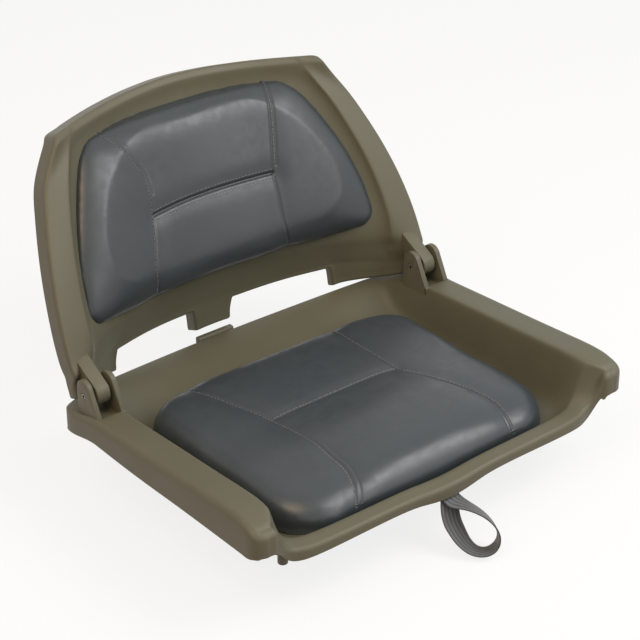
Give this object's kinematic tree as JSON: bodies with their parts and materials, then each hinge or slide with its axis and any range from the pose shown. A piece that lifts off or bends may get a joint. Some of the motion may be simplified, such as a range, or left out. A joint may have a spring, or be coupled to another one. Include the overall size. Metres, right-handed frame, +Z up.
{
  "type": "folding boat seat",
  "caption": "Folding boat seat: moulded pan with arm ridges, padded seat and back cushions, back folding forward on clevis hinges, and a webbing hold-down loop.",
  "frame": {"origin": "centre of the square mounting pattern, on the mounting face under the pan", "axes": "+X across the seat, towards the right of a viewer who faces it from the front; -Y towards the front edge; +Z up"},
  "size_m": [0.5114, 0.5668, 0.3687],
  "materials": {
    "moulded_plastic": "moulded olive-grey plastic with a fine grain",
    "vinyl": "soft satin blue-grey upholstery vinyl",
    "foam": "open-cell upholstery foam",
    "board": "plain plywood",
    "steel": "plain stainless steel",
    "brass": "plain turned brass",
    "webbing": "woven grey webbing with lengthwise ridges"
  },
  "bodies": {
    "seat": {"seat_shell": "moulded_plastic", "seat_cushion_cover": "vinyl", "seat_cushion_foam": "foam", "seat_cushion_board": "board", "seat_cushion_screw_1": "steel", "seat_cushion_screw_2": "steel", "seat_cushion_screw_3": "steel", "seat_cushion_screw_4": "steel", "mount_insert_1": "brass", "mount_insert_2": "brass", "mount_insert_3": "brass", "mount_insert_4": "brass", "hinge_pin_left": "steel", "hinge_pin_right": "steel", "strap_ends": "webbing", "strap_screw": "steel", "strap_washer": "steel"},
    "back": {"back_shell": "moulded_plastic", "back_cushion_cover": "vinyl", "back_cushion_foam": "foam", "back_cushion_board": "board", "back_cushion_screw_1": "steel", "back_cushion_screw_2": "steel", "back_cushion_screw_3": "steel", "back_cushion_screw_4": "steel"},
    "strap": {"strap_loop": "webbing"}
  },
  "joints": [
    {"name": "back_fold", "type": "hinge", "parent": "seat", "child": "back", "pos_m": [0, 0.105, 0.083], "axis": [1, 0, 0], "range_deg": [0, 118]},
    {"name": "strap_swing", "type": "hinge", "parent": "seat", "child": "strap", "pos_m": [0.001, -0.198, 0.01055], "axis": [1, 0, 0], "range_deg": [-15, 10]}
  ]
}
